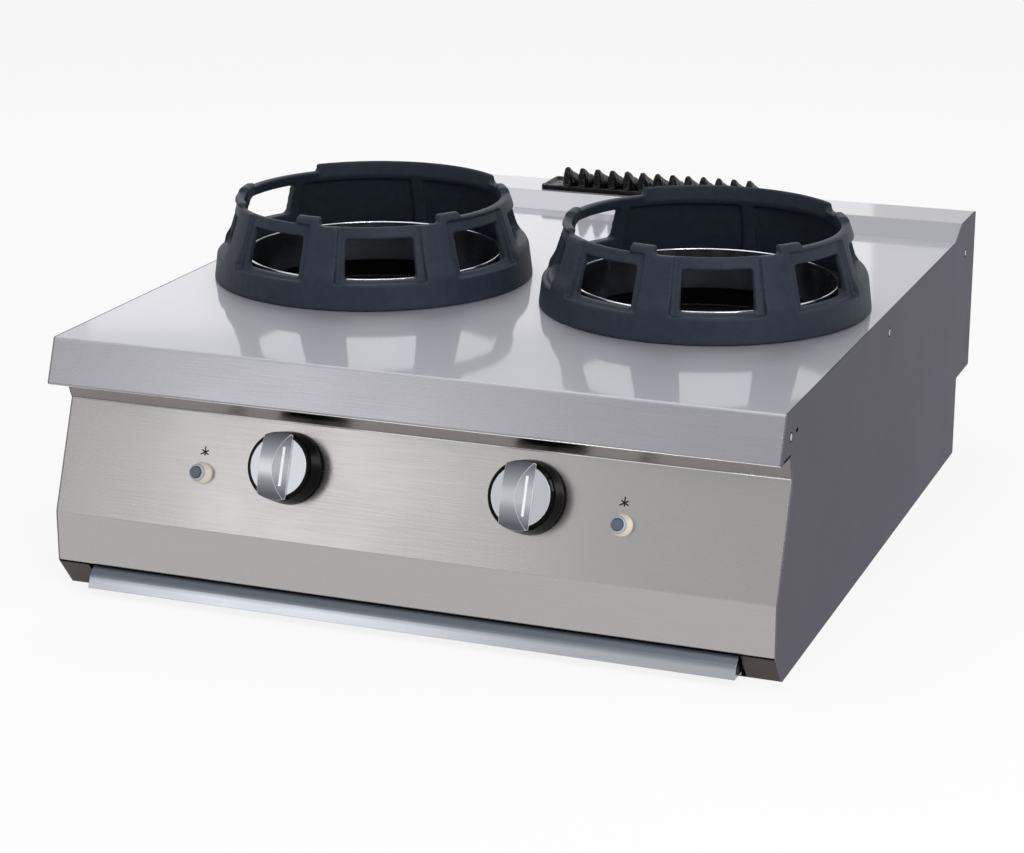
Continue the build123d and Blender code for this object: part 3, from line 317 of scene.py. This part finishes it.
# satin silver lacquer on the knob's disc and grip, with painted shade darkening the bar towards its ends
# and a painted highlight along its edges
silver_lacquer = lacquered("satin silver lacquer", "#a9abb1", "#5e5e67", "#f2f2f6", 0.27)
# pad-printed white mark, and its enamel fill
white_enamel = moulded("white enamel", "#f6f6f8", 0.35, edge=0.2)
# igniter: pale sleeve and boot, cream collar, slate push button
grey_nylon = moulded("light grey nylon", "#bac1cc", 0.25, coat=0.5)
cream_silicone = moulded("cream silicone", "#faf0df", 0.25, coat=0.3)
slate_nylon = moulded("slate nylon", "#4f5a6b", 0.4)
# printed symbols: a flat near-black
black_ink = moulded("black printing ink", "#1c1a19", 0.5, edge=0.1, specular=0.1)
# shadow gap of a slot or a seam between sheets: no light comes back
dark_gap = moulded("dark gap", "#060607", 0.9, edge=0.1, specular=0.0)

finishes = {
    "worktop": top_steel,
    "upstand": upstand_steel,
    "control_panel": front_steel,
    "recess_rail": recess_steel,
    "base_plate": foot_steel,
    "back_panel": side_steel,
    "side_panel": side_steel,
    "drip_tray": side_steel,
    "tray_handle": handle_steel,
    "tray_runners": zinc_steel,
    "wok_ring": enamelled_iron,
    "flue_grille": grille_iron,
    "flue_duct": zinc_steel,
    "collar": spun_steel,
    "well": well_enamel,
    "burner_head": burner_iron,
    "burner_crown": burner_iron,
    "mixing_tube": burner_iron,
    "burner_rail": zinc_steel,
    "jet_rail": zinc_steel,
    "jet_bracket": zinc_steel,
    "gas_jet": machined_brass,
    "gas_tap": machined_brass,
    "gas_inlet": machined_brass,
    "push_pin": machined_brass,
    "tap_stem": zinc_steel,
    "feed_pipe": zinc_steel,
    "gas_pipe": zinc_steel,
    "pilot_burner": machined_brass,
    "thermocouple": machined_brass,
    "spark_electrode": glazed_ceramic,
    "knob_body": black_phenolic,
    "knob_grip": silver_lacquer,
    "knob_pointer": white_enamel,
    "igniter_button": slate_nylon,
    "igniter_bezel": cream_silicone,
    "igniter_nuts": zinc_steel,
    "igniter": grey_nylon,
}
for name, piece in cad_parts.items():
    piece.data.materials.clear()
    piece.data.materials.append(finishes[name.removesuffix("_left").removesuffix("_right")])


# --------------------------------------------------------------------- new pieces
def finish(name, points, faces, body, material, smooth=True):
    """Mesh piece from points in millimetres that rides on a body."""
    mesh = bpy.data.meshes.new(name)
    mesh.from_pydata((np.asarray(points) * mm).tolist(), [], faces)
    mesh.materials.append(material)
    mesh.polygons.foreach_set("use_smooth", [smooth] * len(mesh.polygons))
    mesh.update()
    piece = bpy.data.objects.new(name, mesh)
    bpy.context.scene.collection.objects.link(piece)
    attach(piece, body)


def rows_about_axis(profile, count):
    """Profile points (r, z) turned about +Z: (r cos t_j, r sin t_j, z), t_j = 2 pi j / count."""
    t = np.arange(count) * 2 * np.pi / count
    r, z = profile[:, 0:1], profile[:, 1:2]
    rows = np.stack((r * np.cos(t), r * np.sin(t), np.broadcast_to(z, (len(z), count))), axis=-1)
    return rows.reshape(-1, 3)


def turned(profile, count):
    """Surface of revolution about +Z, closed at both poles.

    The first and last profile points lie on the axis and are fanned to the rows beside
    them; point (i, j) of the rest is (r_i cos t_j, r_i sin t_j, z_i), t_j = 2 pi j / count.
    """
    profile = np.asarray(profile, float)
    rows = rows_about_axis(profile[1:-1], count)
    points = np.vstack(([[0, 0, profile[0, 1]]], rows, [[0, 0, profile[-1, 1]]]))
    top = len(points) - 1
    j = np.arange(count)
    k = (j + 1) % count
    faces = np.stack((np.zeros_like(j), 1 + k, 1 + j), axis=1).tolist()
    for a in range(1, top - count, count):
        b = a + count
        faces += np.stack((a + j, a + k, b + k, b + j), axis=1).tolist()
    a = top - count
    faces += np.stack((a + j, a + k, np.full_like(j, top)), axis=1).tolist()
    return points, faces


def ring_of(profile, count):
    """Closed profile carried once round the +Z axis: a ring without ends.

    Point (i, j) is (r_i cos t_j, r_i sin t_j, z_i) with t_j = 2 pi j / count, and both
    rows and columns close on themselves. The profile runs anticlockwise.
    """
    profile = np.asarray(profile, float)
    i, j = np.meshgrid(np.arange(len(profile)), np.arange(count), indexing="ij")
    k, m = (i + 1) % len(profile), (j + 1) % count
    faces = np.stack((i * count + j, i * count + m, k * count + m, k * count + j), axis=-1)
    return rows_about_axis(profile, count), faces.reshape(-1, 4).tolist()


def casting(node, body, material, grain, passes, lumps=0.0):
    """Copy of a cast CAD node with its corners rounded as a sand mould leaves them.

    The copy is remeshed to an even grain in mm, and each pass then moves every point
    half way to the middle of its neighbours, which wears corners and leaves flats. Lumps
    of a height in mm, one lump spacing apart, then stand on a rough skin.
    """
    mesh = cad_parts[node].data.copy()
    work = bmesh.new()
    work.from_mesh(mesh)
    bmesh.ops.remove_doubles(work, verts=work.verts, dist=1e-6)
    work.to_mesh(mesh)
    work.free()
    piece = bpy.data.objects.new(f"{node}_casting", mesh)
    bpy.context.scene.collection.objects.link(piece)
    remesh = piece.modifiers.new("grain", "REMESH")
    remesh.mode = "VOXEL"
    remesh.voxel_size = grain * mm
    relax = piece.modifiers.new("relax", "SMOOTH")
    relax.factor = 0.5
    relax.iterations = passes
    if lumps:
        clouds = bpy.data.textures.new(f"{node}_lumps", "CLOUDS")
        clouds.noise_scale = lump_spacing * mm
        swell = piece.modifiers.new("lumps", "DISPLACE")
        swell.texture = clouds
        swell.strength = lumps * mm
    finished = piece.evaluated_get(bpy.context.evaluated_depsgraph_get())
    wear_and_highlight = bpy.data.meshes.new_from_object(finished)
    piece.modifiers.clear()
    piece.data = wear_and_highlight
    wear_and_highlight.materials.clear()
    wear_and_highlight.materials.append(material)
    wear_and_highlight.polygons.foreach_set("use_smooth", [True] * len(wear_and_highlight.polygons))
    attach(piece, body)
    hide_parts(node)


def moved(points, matrix, at):
    """Points turned by a matrix and carried to a place."""
    turn = np.array(matrix.to_3x3())
    return np.asarray(points) @ turn.T + np.asarray(at)


def spark_symbol(x, name):
    """Printed spark: a star outline r(t) with six uneven arms, as a film.

    Each arm has a blunt tip of two points, and the notches between the arms lie at a
    small radius.
    """
    arms = np.array([6.2, 4.8, 5.0, 3.8, 5.8, 4.4])
    notches = np.full(6, 1.5)
    turns = np.radians([90, 30, -28, -88, -152, 146])
    half_tip = 0.7 / arms
    tips = np.stack((turns + half_tip, turns - half_tip, turns - radians(30)), axis=1).ravel()
    reach = np.stack((arms, arms, notches), axis=1).ravel()
    rim = np.stack((reach * np.cos(tips), reach * np.sin(tips)), axis=1)[::-1]
    count = len(rim)
    low = np.column_stack((rim, np.zeros(count)))
    high = np.column_stack((rim, np.full(count, film)))
    points = np.vstack((low, high, [[0, 0, 0]], [[0, 0, film]]))
    j = np.arange(count)
    k = (j + 1) % count
    faces = np.stack((j, k, count + k, count + j), axis=1).tolist()
    faces += np.stack((count + j, count + k, np.full(count, 2 * count + 1)), axis=1).tolist()
    faces += np.stack((k, j, np.full(count, 2 * count)), axis=1).tolist()
    placed = moved(points, panel_tilt, on_panel(x, star_height, 0.01))
    finish(name, placed, faces, "cabinet", black_ink, smooth=False)


def screw(name, at, turn):
    """Flush screw head on a side, 0.08 mm high with a round drive recess, in a dark rim."""
    edge, recess, count = screw_radius, 1.0, 32
    shank = ((0, -0.5), (edge, -0.5), (edge, 0.04))
    top = ((edge - 0.4, 0.08), (recess + 0.2, 0.08), (recess, 0.03), (0, 0.03))
    points, faces = turned(shank + top, count)
    finish(name, moved(points, turn, at), faces, "cabinet", screw_steel)
    inner, outer = edge - 0.3, edge + screw_rim
    rim = ((inner, -0.3), (outer, -0.3), (outer, 0.03), (inner, 0.03))
    points, faces = ring_of(rim, count)
    finish(f"{name}_rim", moved(points, turn, at), faces, "cabinet", dark_gap, smooth=False)


def side_gap(name, side, start, end, width):
    """Dark gap between two points on a cabinet side: a film with a stadium outline.

    Its edge is the points at half the width from the line between the two ends.
    """
    start, end = np.asarray(start, float), np.asarray(end, float)
    along = (end - start) / np.hypot(*(end - start))
    across = np.array([-along[1], along[0]])
    t = np.linspace(-np.pi / 2, np.pi / 2, 7)[:, None]
    far = end + width / 2 * (np.cos(t) * along + np.sin(t) * across)
    near = start - width / 2 * (np.cos(t) * along + np.sin(t) * across)
    edge = np.vstack((far, near))
    count = len(edge)
    x = side * np.array([half_width - 0.2, half_width + film])
    points = np.vstack([np.column_stack((np.full(count, value), edge)) for value in x])
    j = np.arange(count)
    k = (j + 1) % count
    walls = np.stack((j, k, count + k, count + j), axis=1)[:, ::-side].tolist()
    caps = [j[::-side].tolist(), (count + j)[::side].tolist()]
    finish(name, points, walls + caps, "cabinet", dark_gap, smooth=False)


def igniter_boot(x, name):
    """Silicone boot over the igniter's sleeve, square to the panel."""
    points, faces = ring_of(boot_profile, 48)
    placed = moved(points, panel_tilt, on_panel(x, igniter_height))
    finish(name, placed, faces, "cabinet", grey_nylon)


def collar_bead(middle, name):
    """Rolled bead on a collar's upper edge: the circle about (r, z) carried round the collar."""
    t = np.arange(14) * 2 * np.pi / 14
    r, z = collar_edge
    profile = np.column_stack((r + bead_radius * np.cos(t), z + bead_radius * np.sin(t)))
    points, faces = ring_of(profile, 160)
    finish(name, points + [*middle, worktop_height], faces, "cabinet", polished_highlight_steel)


def edge_bead(name, y, z, radius, half_length):
    """Rounded edge of a folded sheet, in steel painted pale as a highlight: the circle about (y, z) carried
    along X.
    """
    count = 12
    t = np.arange(count) * 2 * np.pi / count
    round_edge = np.column_stack((y + radius * np.cos(t), z + radius * np.sin(t)))
    ends = (-half_length, half_length)
    points = np.vstack([np.column_stack((np.full(count, x), round_edge)) for x in ends])
    j = np.arange(count)
    k = (j + 1) % count
    walls = np.stack((j, k, count + k, count + j), axis=1).tolist()
    caps = [j[::-1].tolist(), (count + j).tolist()]
    finish(name, points, walls + caps, "cabinet", edge_highlight_steel)


for side, sign in (("left", -1), ("right", 1)):
    spark_symbol(sign * igniter_x, f"spark_symbol_{side}")
    outward = Matrix.Rotation(sign * radians(90), 4, "Y")
    for number, (y, z) in enumerate(screw_places):
        screw(f"side_screw_{side}_{number}", (sign * half_width, y, z), outward)
    side_gap(f"lip_slot_{side}", sign, *lip_slot)
    side_gap(f"lip_seam_{side}", sign, *lip_seam)
    igniter_boot(sign * igniter_x, f"igniter_boot_{side}")
    collar_bead(wok_rings[side], f"collar_bead_{side}")

# painted highlights: bright steel beads along the panel's upper edge and the lip's lower edge
edge_bead("panel_bead", *panel_head, radius=0.9, half_length=half_width - 2)
edge_bead("lip_bead", *lip_edge, radius=0.6, half_length=half_width - 0.5)

for side in wok_rings:
    casting(f"wok_ring_{side}", f"ring_{side}", enamelled_iron, grain=1.6, passes=4)
casting("flue_grille", "grille", grille_iron, grain=1.3, passes=2, lumps=1.7)


# --------------------------------------------------------------- floor and backdrop
def shown(tree):
    """1 for rays that show the backdrop: seen by the camera, mirrored or through glass."""
    path = put(tree, "ShaderNodeLightPath")
    seen, mirrored, through = (path[f"Is {kind} Ray"] for kind in ("Camera", "Glossy", "Transmission"))
    either = put(tree, "ShaderNodeMath", {0: seen, 1: mirrored}, operation="MAXIMUM")[0]
    return put(tree, "ShaderNodeMath", {0: either, 1: through}, operation="MAXIMUM")[0]


# paper floor: it glows where it is shown, so it reads white, and keeps the range's shadow
floor_reach = 8  # metres from the middle to each edge
glow_share = 0.86
paper, sheet = blank("white studio paper")
matt = put(sheet, "ShaderNodeBsdfDiffuse", {"Color": linear("#f6f6f6")})[0]
glow = put(sheet, "ShaderNodeEmission", {"Color": (1, 1, 1, 1), "Strength": 1.0})[0]
share = put(sheet, "ShaderNodeMath", {0: shown(sheet), 1: glow_share}, operation="MULTIPLY")[0]
mixed = put(sheet, "ShaderNodeMixShader", {0: share, 1: matt, 2: glow})[0]
put(sheet, "ShaderNodeOutputMaterial", {"Surface": mixed})
corners = [(x * floor_reach, y * floor_reach, 0) for x, y in ((-1, -1), (1, -1), (1, 1), (-1, 1))]
floor_mesh = bpy.data.meshes.new("floor")
floor_mesh.from_pydata(corners, [], [(0, 1, 2, 3)])
floor_mesh.materials.append(paper)
floor = bpy.data.objects.new("floor", floor_mesh)
bpy.context.scene.collection.objects.link(floor)

# backdrop: white where it is shown, and half as bright as a light on the range
world = bpy.data.worlds.new("studio")
bpy.context.scene.world = world
world.use_nodes = True
sky = world.node_tree
sky.nodes.clear()
white = put(sky, "ShaderNodeBackground", {"Color": (1, 1, 1, 1), "Strength": 1.0})[0]
soft = put(sky, "ShaderNodeBackground", {"Color": (1, 1, 1, 1), "Strength": 0.5})[0]
seen = put(sky, "ShaderNodeMixShader", {0: shown(sky), 1: soft, 2: white})[0]
put(sky, "ShaderNodeOutputWorld", {0: seen})


def softbox(name, at, toward, size, power):
    """Rectangular area light turned to a point, in metres and watts."""
    data = bpy.data.lights.new(name, "AREA")
    data.shape = "RECTANGLE"
    data.size, data.size_y = size
    data.energy = power
    lamp = bpy.data.objects.new(name, data)
    lamp.location = at
    lamp.rotation_euler = (Vector(toward) - Vector(at)).to_track_quat("-Z", "Y").to_euler()
    bpy.context.scene.collection.objects.link(lamp)


# the main light, in front on the right
softbox("key", (1.7, -2.0, 2.0), (0, 0, 0.2), (0.9, 0.9), 26)
# wide and soft, from above
softbox("overhead", (-0.4, -0.5, 2.7), (0, 0, 0.2), (1.6, 1.6), 12)
# low in front: the gradient across the lip and the panel
softbox("front", (-1.2, -2.7, 0.93), (0, -0.4, 0.15), (0.65, 0.86), 2.7)
# behind: one mirrored in the worktop's film, and one higher up for the strip by the upstand
softbox("back", (-1.05, 2.4, 0.76), (-0.1, 0, 0.28), (1.7, 0.55), 2.3)
softbox("back_top", (-1.0, 1.4, 2.5), (-0.1, 0.35, 0.29), (0.7, 0.7), 5)
# two small lamps, for small highlights on what stands out in front
softbox("spark_right", (2.2, -1.6, 1.0), (0, -0.45, 0.15), (0.08, 0.08), 4)
softbox("spark_top", (0.9, -1.9, 2.6), (0, -0.45, 0.15), (0.08, 0.08), 4)

# -------------------------------------------------------------------------- camera
focal_pixels = 2616.3  # focal length in pixels of the photo, fitted to the range's corners
photo_width = 1024
sensor_width = 36.0
pitch, yaw, roll = radians(90 - 17.109), radians(21.145), radians(-0.076)
camera_data = bpy.data.cameras.new("camera")
camera_data.sensor_fit = "HORIZONTAL"
camera_data.sensor_width = sensor_width
camera_data.lens = focal_pixels / photo_width * sensor_width
camera_data.clip_end = 100
camera = bpy.data.objects.new("camera", camera_data)
camera.location = (1.0151, -2.7494, 1.0012)
gaze = Euler((pitch, 0, yaw), "XYZ").to_matrix()
camera.rotation_euler = (gaze @ Matrix.Rotation(roll, 3, "Z")).to_euler()
bpy.context.scene.collection.objects.link(camera)
bpy.context.scene.camera = camera

bpy.context.scene.view_settings.view_transform = "Standard"
